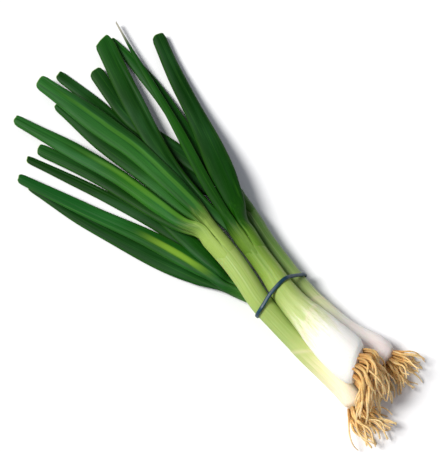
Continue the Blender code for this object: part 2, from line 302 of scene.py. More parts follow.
# ---------------------------------------------------------------------------- finishes
@dataclass(frozen=True)
class LeafFinish:
    """Leaf skin: colours from fork to tip, with veins, mottling and a waxy bloom.

    `fade` says where, in mm past the fork, the stem's colour gives way to the leaf's. The ridge
    setting is a painted highlight, a pale line along the leaf, with painted shade on one side:
    place across and half width in mm, then the strengths of the highlight and of the shade.
    `ridge_from` says where along the leaf it begins, is full, thins and ends. `seed` is the
    leaf's own, for a leaf with a painted ridge highlight.
    """

    name: str
    stops: tuple[tuple[float, Colour], ...]
    base: Colour = srgb(150, 186, 96)
    fade: tuple[float, float] = (-8.0, 34.0)
    bloom: Colour = srgb(74, 134, 84)
    bloom_strength: float = 0.14
    rough: float = 0.47
    ridge: tuple[float, float, float, float] = (0.0, 0.0, 0.0, 0.0)
    ridge_from: tuple[float, float, float, float] = (0.0, 0.1, 0.8, 1.0)
    # colour of the painted highlight line along the ridge
    ridge_tint: Colour = srgb(96, 150, 44)
    seed: int = 0

    def build(self) -> bpy.types.Material:
        """Makes the material. `straight` holds (across, above, along) in mm."""
        g = Graph(self.name)
        veins = g.noise(g.vector("straight", (1.9, 1.9, 0.018)), 1.0, 3.0, 0.55)
        fine = g.noise(g.vector("straight", (5.5, 5.5, 0.05)), 1.0, 2.0, 0.6)
        mottle = g.noise(g.vector("straight", (0.22, 0.22, 0.045)), 1.0, 3.0, 0.6)
        blotch = g.noise(g.vector("straight", (0.10, 0.10, 0.020)), 1.0, 2.0, 0.5)
        specks = g.noise(g.vector("straight", (3.2, 3.2, 1.4)), 1.0, 2.0, 0.5)
        part = g.value("part")
        colour = g.ramp(part + (mottle - 0.5) * 0.10 + (veins - 0.5) * 0.10, self.stops)
        colour = g.mix(veins.step(0.54, 0.78) * 0.24, colour, srgb(84, 148, 40))
        colour = g.mix((1.0 - veins.step(0.24, 0.52)) * 0.55, colour, srgb(4, 32, 4))
        colour = g.mix(blotch.step(0.48, 0.75) * self.bloom_strength, colour, self.bloom)
        colour = g.mix(specks.step(0.66, 0.76) * 0.12, colour, srgb(104, 150, 74))
        colour = g.mix(g.value("edge").step(0.62, 1.0) * 0.14, colour, srgb(80, 128, 48))
        place, half, strength, shade = self.ridge
        if half:
            across = g.across("straight") - 17.0 * self.seed
            off = across - place + (mottle - 0.5) * 1.2
            begins, full, thins, ends = self.ridge_from
            there = part.step(begins, full) * (1.0 - part.step(thins, ends))
            # painted shade on one side of the ridge line
            colour = g.mix(off.step(half * 0.4, half * 0.4 + 1.6) * there * shade, colour, srgb(6, 40, 6))
            # painted highlight: the pale line along the leaf
            line = 1.0 - (off * off).step(0.05 * half**2, half**2)
            colour = g.mix(line * there * strength, colour, self.ridge_tint)
        green = (g.value("run") + (veins - 0.5) * 26.0).step(*self.fade)
        base = g.mix((1.0 - fine.step(0.36, 0.56)) * 0.30, self.base, srgb(112, 150, 52))
        colour = g.mix(1.0 - green, colour, base)
        layer = g.value("layer")
        colour = g.mix(layer.step(0.2, 0.5), colour, srgb(150, 178, 104))
        colour = g.mix(layer.step(0.6, 0.95), colour, srgb(66, 96, 44))
        colour = g.mix(g.value("dry"), colour, srgb(164, 160, 142))
        g.feed(g.shader.inputs["Base Color"], colour)
        g.feed(g.shader.inputs["Roughness"], self.rough + (mottle - 0.5) * 0.24 + (fine - 0.5) * 0.10)
        g.bump(veins * 0.7 + fine * 0.3 + specks * 0.12, 0.55, 0.00016)
        g.set(Specular_IOR_Level=0.08)
        return g.material


@dataclass(frozen=True)
class StemFinish:
    """Bulb and stem: white flesh turning green towards the fork along its veins.

    `stops` places colours by distance from the root end, in mm.
    """

    name: str
    stops: tuple[tuple[float, Colour], ...]
    blush: Colour = srgb(232, 196, 190)
    blush_strength: float = 0.10
    reach: float = 150.0

    def build(self) -> bpy.types.Material:
        """Makes the material. `straight` holds (across, above, along) in mm."""
        g = Graph(self.name)
        veins = g.noise(g.vector("straight", (1.5, 1.5, 0.012)), 1.0, 3.0, 0.55)
        fine = g.noise(g.vector("straight", (4.6, 4.6, 0.04)), 1.0, 2.0, 0.6)
        broad = g.noise(g.vector("straight", (0.30, 0.30, 0.010)), 1.0, 2.0, 0.5)
        cloud = g.noise(g.vector("straight", (0.16, 0.16, 0.06)), 1.0, 3.0, 0.5)
        run = g.value("run")
        shifted = run + (veins - 0.5) * 26.0 + (broad - 0.5) * 26.0
        colour = g.ramp(shifted / self.reach, [(place / self.reach, tint) for place, tint in self.stops])
        green = run.step(28.0, 70.0)
        colour = g.mix(veins.step(0.52, 0.74) * green * 0.16, colour, srgb(230, 236, 186))
        colour = g.mix((1.0 - veins.step(0.28, 0.50)) * green * 0.40, colour, srgb(92, 130, 30))
        colour = g.mix((1.0 - fine.step(0.34, 0.52)) * 0.17, colour, srgb(170, 176, 116))
        blushed = cloud.step(0.42, 0.70) * (1.0 - run.step(30.0, 62.0))
        colour = g.mix(blushed * self.blush_strength, colour, self.blush)
        near_plate = 1.0 - (run + (fine - 0.5) * 2.5).step(0.6, 3.4)
        colour = g.mix(near_plate * 0.55, colour, srgb(206, 172, 118))
        layer = g.value("layer")
        colour = g.mix(layer.step(0.2, 0.5), colour, srgb(226, 226, 184))
        colour = g.mix(layer.step(0.6, 0.95), colour, srgb(160, 176, 96))
        colour = g.mix(g.value("skin") * 0.30, colour, srgb(236, 214, 196))
        g.feed(g.shader.inputs["Base Color"], colour)
        g.feed(g.shader.inputs["Roughness"], 0.52 + (cloud - 0.5) * 0.20 + (fine - 0.5) * 0.10)
        g.bump(veins * 0.75 + fine * 0.25, 0.45, 0.00014)
        g.set(Specular_IOR_Level=0.22, Subsurface_Weight=0.12,
              Subsurface_Scale=0.003)
        return g.material


@dataclass(frozen=True)
class RootFinish:
    """Dry, papery roots: tan, darker and more orange near the plate and in patches."""

    name: str
    light: Colour = srgb(246, 216, 158)
    middle: Colour = srgb(232, 188, 114)
    dark: Colour = srgb(180, 112, 38)

    def build(self) -> bpy.types.Material:
        """Makes the material; `part` runs 0 to 1 along each root."""
        g = Graph(self.name)
        rings = g.noise(g.vector("straight", (1.0, 1.0, 2.2)), 1.0, 2.0, 0.6)
        patches = g.noise(g.vector("straight", (0.35, 0.35, 0.16)), 1.0, 3.0, 0.6)
        part = g.value("part")
        colour = g.ramp(patches * 0.75 + part * 0.30,
                        [(0.22, self.dark), (0.42, self.middle), (0.66, self.light)])
        colour = g.mix((1.0 - rings.step(0.30, 0.52)) * 0.35, colour, srgb(150, 100, 46))
        colour = g.mix((1.0 - part.step(0.0, 0.22)) * 0.55, colour, srgb(150, 96, 36))
        g.feed(g.shader.inputs["Base Color"], colour)
        g.feed(g.shader.inputs["Roughness"], 0.62 + (rings - 0.5) * 0.2)
        g.bump(rings * 0.6 + patches * 0.4, 0.6, 0.00018)
        g.set(Subsurface_Weight=0.10, Subsurface_Scale=0.0015)
        return g.material


@dataclass(frozen=True)
class RubberFinish:
    """Dark blue-green rubber with a faint dusting and fine tool lines."""

    name: str
    body: Colour = srgb(6, 52, 70)
    worn: Colour = srgb(30, 96, 112)

    def build(self) -> bpy.types.Material:
        """Makes the material; `straight` holds (across, above, along) in mm."""
        g = Graph(self.name)
        dust = g.noise(g.vector("straight", (0.9, 0.9, 0.35)), 1.0, 4.0, 0.6)
        lines = g.noise(g.vector("straight", (6.0, 6.0, 0.15)), 1.0, 2.0, 0.5)
        colour = g.mix(dust.step(0.50, 0.74) * 0.55, self.body, self.worn)
        colour = g.mix((1.0 - lines.step(0.3, 0.5)) * 0.35, colour, srgb(6, 30, 42))
        g.feed(g.shader.inputs["Base Color"], colour)
        g.feed(g.shader.inputs["Roughness"], 0.42 + (dust - 0.5) * 0.25)
        g.bump(lines * 0.6 + dust * 0.4, 0.4, 0.0001)
        g.set(Specular_IOR_Level=0.4)
        return g.material


@dataclass(frozen=True)
class SurfaceFinish:
    """Plain pale surface that the bunch lies on."""

    name: str = "pale_surface"
    tint: Colour = (0.94, 0.94, 0.94, 1.0)

    def build(self) -> bpy.types.Material:
        """Makes the material."""
        g = Graph(self.name)
        g.set(Base_Color=self.tint, Roughness=0.9)
        return g.material


# ---------------------------------------------------------------------------- meshes
@dataclass
class Skin:
    """A closed surface given as a grid: rows along, columns around, both ends drawn to a point.

    `points` is (rows, columns, 3) in mm. `marks` maps attribute names to (rows, columns)
    numbers or (rows, columns, 3) vectors.
    """

    points: np.ndarray
    marks: dict[str, np.ndarray] = field(default_factory=dict)
    ring: bool = False

    def parts(self) -> tuple[np.ndarray, np.ndarray, np.ndarray, dict[str, np.ndarray]]:
        """Flattens the grid.

        Returns:
            Vertices, quads, end triangles and attributes, one row per vertex.
        """
        rows, columns, _ = self.points.shape
        vertices = self.points.reshape(-1, 3)
        marks = {k: v.reshape(rows * columns, -1) for k, v in self.marks.items()}
        last = rows if self.ring else rows - 1
        i, j = np.meshgrid(np.arange(last), np.arange(columns), indexing="ij")
        k, n = (j + 1) % columns, (i + 1) % rows
        quads = np.stack([i * columns + j, n * columns + j, n * columns + k, i * columns + k],
                         axis=-1).reshape(-1, 4)
        if self.ring:
            return vertices, quads, np.zeros((0, 3), int), marks
        turn = np.arange(columns)
        after = (turn + 1) % columns
        first, end = len(vertices), len(vertices) + 1
        base = (rows - 1) * columns
        triangles = np.concatenate([
            np.stack([np.full(columns, first), turn, after], axis=1),
            np.stack([np.full(columns, end), base + after, base + turn], axis=1)])
        vertices = np.vstack([vertices, self.points[0].mean(axis=0), self.points[-1].mean(axis=0)])
        marks = {k: np.vstack([v, v[:columns].mean(axis=0), v[base:base + columns].mean(axis=0)])
                 for k, v in marks.items()}
        return vertices, quads, triangles, marks


def make_piece(name: str, skins: Iterable[Skin], material: bpy.types.Material) -> bpy.types.Object:
    """Joins grids into one mesh object that faces outwards.

    Args:
        name: object name.
        skins: closed grids.
        material: the piece's finish.

    Returns:
        The object, at the origin, with its place in its mesh.
    """
    corners, sizes, points, marks, start = [], [], [], {}, 0
    for skin in skins:
        vertices, quads, triangles, own = skin.parts()
        a, b, c = (vertices[triangles[:, n]] for n in range(3))
        volume = np.sum(a * np.cross(b, c))
        for split in ((0, 1, 2), (0, 2, 3)):
            a, b, c = (vertices[quads[:, n]] for n in split)
            volume += np.sum(a * np.cross(b, c))
        if volume < 0:
            quads, triangles = quads[:, ::-1], triangles[:, ::-1]
        corners += [quads.ravel() + start, triangles.ravel() + start]
        sizes += [np.full(len(quads), 4), np.full(len(triangles), 3)]
        points.append(vertices)
        for key, value in own.items():
            marks.setdefault(key, []).append(value)
        start += len(vertices)
    index, size = np.concatenate(corners), np.concatenate(sizes)
    place = (np.vstack(points) - CENTRE) * MM
    mesh = bpy.data.meshes.new(name)
    mesh.vertices.add(len(place))
    mesh.vertices.foreach_set("co", place.ravel())
    mesh.loops.add(len(index))
    mesh.loops.foreach_set("vertex_index", index)
    mesh.polygons.add(len(size))
    mesh.polygons.foreach_set("loop_start", np.concatenate([[0], np.cumsum(size)[:-1]]))
    mesh.polygons.foreach_set("loop_total", size)
    mesh.update(calc_edges=True)
    mesh.validate()
    mesh.shade_smooth()
    for key, values in marks.items():
        data = np.vstack(values)
        kind, slot = ("FLOAT", "value") if data.shape[1] == 1 else ("FLOAT_VECTOR", "vector")
        mesh.attributes.new(key, kind, "POINT").data.foreach_set(slot, data.ravel().astype(np.float32))
    mesh.materials.append(material)
    piece = bpy.data.objects.new(name, mesh)
    bpy.context.scene.collection.objects.link(piece)
    LOG.info("%s: %d vertices, %d faces", name, len(place), len(size))
    return piece


def install(piece: bpy.types.Object, node: str) -> None:
    """Lets a piece stand for its CAD node: hangs it under the root body and hides the node's part."""
    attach(piece, "root")
    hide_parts(node)


def layers_of(run: np.ndarray, outer: int) -> np.ndarray:
    """Layer of every grid point: skin on the first `outer` rows, then the cut and the hollow."""
    layer = np.full_like(run, Layer.SKIN.value)
    layer[outer:] = Layer.HOLLOW.value
    layer[outer - 1:outer + 1] = Layer.CUT.value
    return layer


# ---------------------------------------------------------------------------- laying the leaves
class Pile:
    """Height of everything laid so far, on a square grid over the surface."""

    CELL = 0.5
    LOW = np.array([-215.0, -80.0])
    HIGH = np.array([110.0, 75.0])

    def __init__(self) -> None:
        """Starts with the bare surface."""
        self.height = np.zeros(((self.HIGH - self.LOW) / self.CELL).astype(int) + 1)

    def cells(self, points: np.ndarray) -> tuple[np.ndarray, np.ndarray]:
        """Row and column of the cell that holds each plan point."""
        index = np.round((points - self.LOW) / self.CELL).astype(int)
        index = np.clip(index, 0, np.array(self.height.shape) - 1)
        return index[..., 0], index[..., 1]

    def support(self, plan: np.ndarray, side: np.ndarray, width: np.ndarray,
                thickness: np.ndarray) -> np.ndarray:
        """Lowest height of a flat tube's centre, at each station, that clears the pile.

        The underside is an ellipse, so a point off the middle may sit lower than the middle.

        Args:
            plan: plan points of the tube.
            side: level sideways vectors.
            width: widths.
            thickness: thicknesses.

        Returns:
            One height per station.
        """
        across = np.linspace(-1.0, 1.0, 25)
        points = plan[:, None] + side[:, None] * (across[None, :, None] * width[:, None, None] / 2)
        below = self.height[self.cells(points)]
        below = np.where(below > 0, below + LAY_GAP, 0.0)
        return np.max(below + np.sqrt(1 - across**2) * thickness[:, None] / 2, axis=1)

    def add(self, plan: np.ndarray, side: np.ndarray, width: np.ndarray, thickness: np.ndarray,
            centre: np.ndarray) -> None:
        """Raises the pile to the top of a flat tube whose centre heights are `centre`."""
        rows = np.arange(len(plan))
        fine = np.linspace(0, len(plan) - 1, 8 * (len(plan) - 1) + 1)
        plan, side = (np.stack([np.interp(fine, rows, c) for c in v.T], axis=1) for v in (plan, side))
        width, thickness, centre = (np.interp(fine, rows, v) for v in (width, thickness, centre))
        across = np.linspace(-1.0, 1.0, 61)
        points = plan[:, None] + side[:, None] * (across[None, :, None] * width[:, None, None] / 2)
        top = centre[:, None] + np.sqrt(1 - across**2) * thickness[:, None] / 2
        np.maximum.at(self.height, self.cells(points), top)


@dataclass
class Course:
    """A laid path: centre points with the across and above directions and the run along it."""

    centre: np.ndarray
    side: np.ndarray
    width: np.ndarray
    thickness: np.ndarray

    def __post_init__(self) -> None:
        """Refines the path and works out its directions."""
        fine = spline(np.column_stack([self.centre, self.side, self.width, self.thickness]), 420)
        self.centre, self.side = fine[:, :3], unit(fine[:, 3:5])
        self.width, self.thickness = fine[:, 5], fine[:, 6]
        self.run = run_of(self.centre)
        self.across, self.above = frames(self.centre, self.side)

    @property
    def length(self) -> float:
        """Length of the path in mm."""
        return float(self.run[-1])

    def place(self, run: np.ndarray, a: np.ndarray, b: np.ndarray) -> np.ndarray:
        """Points at a distance `run` along the path, `a` across and `b` above its centre.

        Beyond either end the path goes on straight.
        """
        def read(table: np.ndarray) -> np.ndarray:
            return np.stack([np.interp(run, self.run, column) for column in table.T], axis=-1)
        start, end = unit(self.centre[1] - self.centre[0]), unit(self.centre[-1] - self.centre[-2])
        beyond = np.maximum(run - self.length, 0.0)[..., None] * end
        before = np.minimum(run, 0.0)[..., None] * start
        offset = read(self.across) * a[..., None] + read(self.above) * b[..., None]
        return read(self.centre) + before + beyond + offset

    def size(self, run: np.ndarray) -> tuple[np.ndarray, np.ndarray]:
        """Width and thickness at a distance along the path."""
        return np.interp(run, self.run, self.width), np.interp(run, self.run, self.thickness)


# ---------------------------------------------------------------------------- stems
@dataclass
class Stem:
    """Bulb and stem. `stations` holds (x, y, z, radius) from the root end to the fork.

    `sheath` says where the outer skin's free margin lies: distance from the root end in mm,
    how far it slants, and the angle round the stem, in degrees, where it reaches furthest.
    `collar` gives the same for the stem's own end, `fuller` thickens the upper stem in mm, and
    `tilt` slants the root end: how far it leans back per mm towards +Y and per mm up.
    """

    onion: str
    stations: tuple[tuple[float, float, float, float], ...]
    finish: StemFinish
    sheath: tuple[tuple[float, float, float], ...]
    collar: tuple[float, float, float]
    seed: int
    fuller: float = 0.0
    tilt: tuple[float, float] = (0.0, 0.0)

    def __post_init__(self) -> None:
        """Works out the axis used to lay the leaves, and the finer course."""
        self.axis = spline(self.stations, 60)
        self.course = Course(self.axis[:, :3], sideways(self.axis), 2 * self.axis[:, 3], 2 * self.axis[:, 3])

    def radius(self, run: np.ndarray, turn: np.ndarray) -> np.ndarray:
        """Radius of the skin, in mm.

        The stations' radius times 1 plus slow swells and faint flats, less one narrow fold,
        less a quarter of a millimetre past each sheath margin, plus `fuller` on the upper
        stem. A margin is a mean distance plus a cosine of the angle, so it slants round the
        stem.

        Args:
            run: distance from the root end.
            turn: angle round the axis.

        Returns:
            Radius at each point.
        """
        radius = np.interp(run, self.course.run, self.course.width / 2)
        swell = ripple(run / 9.0, 2 * np.cos(turn), self.seed + 1)
        flats = np.cos(2 * turn + self.seed) * 0.016 + np.cos(3 * turn + run / 60 + self.seed) * 0.010
        radius = radius * (1 + 0.007 * swell + flats * smoothstep(run / 12))
        fold = np.exp(-(((turn - 1.1 - self.seed + np.pi) % (2 * np.pi) - np.pi) / 0.16) ** 2)
        radius = radius - 0.28 * fold * smoothstep((run - 34) / 30)
        for place, lean, way in self.sheath:
            radius = radius + 0.24 * (self.below(run, turn, place, lean, way) - 1)
        return radius + self.fuller * smoothstep((run - 50) / 30)

    def margin(self, turn: np.ndarray, place: float, lean: float, way: float) -> np.ndarray:
        """Distance from the root end of a sheath's free edge at an angle round the stem."""
        wavy = 1.2 * ripple(2 * turn, 0 * turn, self.seed + 5)
        return place + lean * np.cos(turn - math.radians(way)) + wavy

    def below(self, run: np.ndarray, turn: np.ndarray, place: float, lean: float, way: float) -> np.ndarray:
        """1 on the sheath and 0 past its free edge."""
        return 1 - smoothstep((run - self.margin(turn, place, lean, way)) / 1.6 + 0.5)

    def skin(self) -> Skin:
        """The stem's surface.

        Rows run from the root plate to the collar, which dips under the leaf bases, over its
        thin edge and back inside for a few millimetres. The collar's edge slants: its run is
        a mean plus a cosine of the angle round the stem.
        """
        turn = np.linspace(0.0, 2 * np.pi, 112, endpoint=False)[None, :]
        mean, slant, face = self.collar
        edge = (self.course.length + mean + slant * np.cos(turn - math.radians(face))
                + 0.5 * ripple(3 * turn, 0 * turn, self.seed))
        t = np.linspace(0.0, 1.0, 230)[:, None] ** 1.35
        run = t * edge
        radius = self.radius(run, turn) - 1.1 * smoothstep((run - edge + 9) / 8)
        skin = np.zeros_like(run)
        for place, lean, way in self.sheath:
            skin = np.maximum(skin, np.exp(-((run - self.margin(turn, place, lean, way) + 1.2) / 1.4) ** 2))
        inner_run = edge - np.array([0.0, 0.6, 2.0, 5.0, 9.0])[:, None]
        inner = radius[-1:] - np.array([0.28, 0.42, 0.6, 0.9, 1.5])[:, None]
        run_all, radius_all = np.vstack([run, inner_run]), np.vstack([radius, inner])
        a, b = radius_all * np.cos(turn), radius_all * np.sin(turn)
        layer = layers_of(run_all, len(run))
        marks = {
            "straight": np.stack([a, b, run_all], axis=-1), "run": run_all, "layer": layer,
            "skin": np.vstack([skin, np.zeros_like(inner_run)]),
        }
        points = self.course.place(run_all, a, b)
        offset = points - self.course.place(run_all, 0 * a, 0 * b)
        shear = offset[..., 1] * self.tilt[0] + offset[..., 2] * self.tilt[1]
        shear = shear * (1 - smoothstep(run_all / TILT_REACH))
        points[..., 0] -= shear
        return Skin(points, marks)

    def build(self) -> None:
        """Makes the piece that stands for the stem's node."""
        name = f"onion_{self.onion}_bulb_stem"
        install(make_piece(f"{name}_skin", [self.skin()], self.finish.build()), name)


# ---------------------------------------------------------------------------- leaves
@dataclass
class Leaf:
    """One leaf: a flattened hollow tube that grows out of a sector of its stem's end.

    `seat` is its place (sideways, up) on the stem's end, `seat_size` its size there, `path`
    its plan points out to the tip, `widths` the width near the fork, further out and at the
    tip, and `fall` how far it takes to sink to the surface where nothing holds it up.
    `crease` is a lengthwise groove: offset as a share of the half width, depth in mm.
    `shoulder` widens it just past the fork, in mm. `cut` shapes the end: slant and rounding in
    mm, and where across it the end is furthest. `twist` turns it, in degrees, on the way.
    """

    name: str
    onion: str
    seat: tuple[float, float]
    seat_size: tuple[float, float]
    path: tuple[tuple[float, float], ...]
    widths: tuple[float, float, float]
    thickness: float
    fall: float
    finish: LeafFinish
    crease: tuple[float, float] = (0.3, 0.35)
    cut: tuple[float, float, float] = (0.5, 1.5, 0.0)
    twist: float = 4.0
    dry_from: float = 2.0
    shoulder: float = 0.0
    seed: int = 0
    WALL = 0.55
    INSET = 22.0
    MARGIN = 15.0

    def lay(self, stem: Stem, pile: Pile) -> None:
        """Lays the leaf over the pile, from its seat on the stem to its tip.

        The height is the larger of what the pile needs and a sag from the stem's own
        direction down to the surface, eased by repeated averaging, and it follows the stem's
        direction next to the seat.

        Args:
            stem: the stem it grows from.
            pile: everything laid before it; the leaf is added to it.
        """
        axis = stem.axis
        along = unit(axis[-1, :3] - axis[-3, :3])
        across = unit(np.array([along[1], -along[0], 0.0]))
        above = np.cross(along, across)
        above = above * np.sign(above[2])
        start = axis[-1, :3] + along * 0.6 + across * self.seat[0] + above * self.seat[1]
        plan = spline([start[:2], (start + along * 8.0)[:2], *self.path], STATIONS)
        run = run_of(plan)
        part = run / run[-1]
        near, far, tip = self.widths
        body = near + (far - near) * smoothstep((part - 0.3) / 0.4)
        body = body + (tip - far) * smoothstep((part - 0.68) / 0.32)
        grown, flat = smoothstep(run / WIDEN_LENGTH), smoothstep(run / FLATTEN_LENGTH)
        width = self.seat_size[0] * (1 - grown) + body * grown
        thickness = self.seat_size[1] * (1 - flat) + self.thickness * (1 - 0.15 * part) * flat
        side = sideways(plan)
        held = pile.support(plan, side, width, thickness)
        straight = start[2] + along[2] * run
        height = straight + (thickness[-1] / 2 - straight) * smoothstep(run / self.fall)
        height = np.maximum(held, height)
        seated = 1.0 - smoothstep((run - 2.0) / 12.0)
        for _ in range(300):
            eased = height.copy()
            eased[1:-1] = 0.25 * height[:-2] + 0.5 * height[1:-1] + 0.25 * height[2:]
            eased[-1] = height[-2]
            height = np.maximum(eased, held) * (1 - seated) + straight * seated
        pile.add(plan, side, width, thickness, height)
        self.course = Course(np.column_stack([plan, height]), side, width, thickness)
        self.stem = stem

    def sector(self, run: np.ndarray, turn: np.ndarray) -> tuple[np.ndarray, np.ndarray]:
        """Section on the stem: the share of the stem's round that this leaf's base covers.

        From the seat the distance to the stem's circle and to the planes that part it from
        its neighbours are joined by a smooth minimum, 1 over the eighth root of the sum of
        their inverse eighth powers. The circle is a little larger than the stem near the
        fork and dips under the stem's skin at the base's wavy margin.

        Args:
            run: distance past the stem's end, negative on the stem.
            turn: angles round the seat.

        Returns:
            Offsets across and above, in mm.
        """
        ca, sa = np.cos(turn), np.sin(turn)
        cx, cy = self.seat
        around = np.arctan2(cy + 4.0 * sa, cx + 4.0 * ca)
        skin = self.stem.radius(self.stem.course.length + np.minimum(run, 0.0), around)
        wavy = 0.8 * ripple(3 * turn, 0 * turn, self.seed + 3)
        margin = self.MARGIN + 2.5 * np.cos(turn - self.seed) + wavy
        radius = skin + 0.07 - 0.8 * (1 - smoothstep((run + margin) / 6.0 + 0.5))
        reach = -(cx * ca + cy * sa)
        reach = reach + np.sqrt(np.maximum(reach**2 - cx**2 - cy**2 + radius**2, 0.01))
        total = reach**-8.0
        for centre, direction in ((cx, ca), (cy, sa)):
            if abs(centre) > 1.0:
                toward = np.maximum(-np.sign(centre) * direction, 1e-3)
                total = total + ((abs(centre) - 0.08) / toward) ** -8.0
        reach = total ** (-1 / 8)
        return reach * ca, reach * sa

    def section(self, run: np.ndarray, turn: np.ndarray) -> tuple[np.ndarray, np.ndarray]:
        """Offsets across and above of the outer surface.

        Past the seat the section is an ellipse, a little fuller than round, with a groove on
        its upper side, slow swelling along it and a slight turn about its centre.
        """
        width, thickness = self.course.size(run)
        width = width + self.shoulder * np.exp(-((run - 14.0) / 13.0) ** 2)
        part = np.clip(run / self.course.length, 0, 1)
        ca, sa = np.cos(turn), np.sin(turn)
        uneven = ripple(run / 17.0, 1.5 * ca, self.seed)
        half = width / 2 * (1 + 0.030 * ripple(run / 11.0, 0 * ca, self.seed + 1))
        a = half * np.sign(ca) * np.abs(ca) ** 0.94
        b = thickness / 2 * np.sign(sa) * np.abs(sa) ** 0.86 * (1 + 0.07 * uneven)
        offset, depth = self.crease
        wander = 0.12 * np.sin(run / 31.0 + self.seed)
        groove = np.exp(-((a / np.maximum(half, 0.3) - offset - wander) / 0.16) ** 2)
        grown = smoothstep((run - 14) / 30)
        deeper = 0.65 + 0.35 * np.sin(run / 13.0 + self.seed)
        b = b - np.where(sa > 0, 1.0, -0.6) * depth * groove * grown * deeper
        angle = math.radians(self.twist) * np.sin(part * 5.0 + self.seed) * grown
        a, b = a * np.cos(angle) - b * np.sin(angle), a * np.sin(angle) + b * np.cos(angle)
        blend = smoothstep((run - 1.0) / 24.0)
        seat_a, seat_b = self.sector(run, turn)
        return seat_a * (1 - blend) + a * blend, seat_b * (1 - blend) + b * blend

    def place(self, run: np.ndarray, a: np.ndarray, b: np.ndarray) -> np.ndarray:
        """Points of the leaf: along the stem before the fork and along its own course past it."""
        own = self.course.place(run, a, b)
        held = self.stem.course.place(self.stem.course.length + 0.6 + run, a + self.seat[0], b + self.seat[1])
        share = smoothstep((run + 3.0) / 6.0)[..., None]
        return held * (1 - share) + own * share

    def skin(self) -> Skin:
        """The leaf's surface: out along the skin, over the cut edge and back down the hollow.

        The cut's run is the leaf's length plus a slant times the offset from its furthest
        point, as a cosine, less a rounding times the fourth power of the cosine, which acts on
        one side only where the furthest point is off the middle.
        """
        columns = 56
        turn = np.linspace(0.0, 2 * np.pi, columns, endpoint=False)[None, :]
        length = self.course.length
        slant, rounding, apex = self.cut
        across = np.cos(turn)
        rounded = np.where(across > 0, across, across if apex == 0 else 0.0) ** 4
        ragged = 0.25 * ripple(4 * turn, 0 * turn, self.seed)
        tip = length + slant * (across - apex) - rounding * rounded + ragged
        t = np.linspace(0.0, 1.0, 190)[:, None]
        bend = smoothstep((t - 0.86) / 0.14)
        run = -self.INSET + (length + self.INSET) * t
        run = run * (1 - bend) + (-self.INSET + (tip + self.INSET) * t) * bend
        a, b = self.section(run, turn + 0 * run)
        ease = 1 - 0.10 * smoothstep((t - 0.985) / 0.015)
        a, b = a * ease, b * ease
        back = np.array([0.0, 0.35, 1.2, 3.0, 6.0, 10.0, 15.0, 21.0])[:, None]
        in_run = tip - back
        in_a, in_b = self.section(in_run, turn + 0 * in_run)
        width, thickness = self.course.size(in_run)
        wall = np.minimum(self.WALL, 0.22 * thickness)
        close = 1 - smoothstep(back / 26.0)
        in_a = in_a * np.maximum(1 - 2 * wall / width, 0.1) * (0.25 + 0.75 * close)
        in_b = in_b * np.maximum(1 - 2 * wall / thickness, 0.1) * (0.05 + 0.95 * close)
        run_all = np.vstack([run, in_run])
        a_all, b_all = np.vstack([a, in_a]), np.vstack([b, in_b])
        layer = layers_of(run_all, len(run))
        half = np.maximum(self.course.size(run_all)[0] / 2, 0.3)
        part = np.clip(run_all / length, 0, 1)
        marks = {
            "straight": np.stack([a_all + 17.0 * self.seed, b_all, run_all], axis=-1),
            "part": part, "run": run_all, "layer": layer,
            "edge": np.clip(np.abs(a_all) / half, 0, 1) * smoothstep((run_all - 20) / 30),
            "dry": smoothstep((part - self.dry_from) / 0.10),
        }
        return Skin(self.place(run_all, a_all, b_all), marks)

    def build(self) -> None:
        """Makes the piece that stands for the leaf's node."""
        node = f"onion_{self.name}"
        install(make_piece(f"{node}_blade", [self.skin()], self.finish.build()), node)


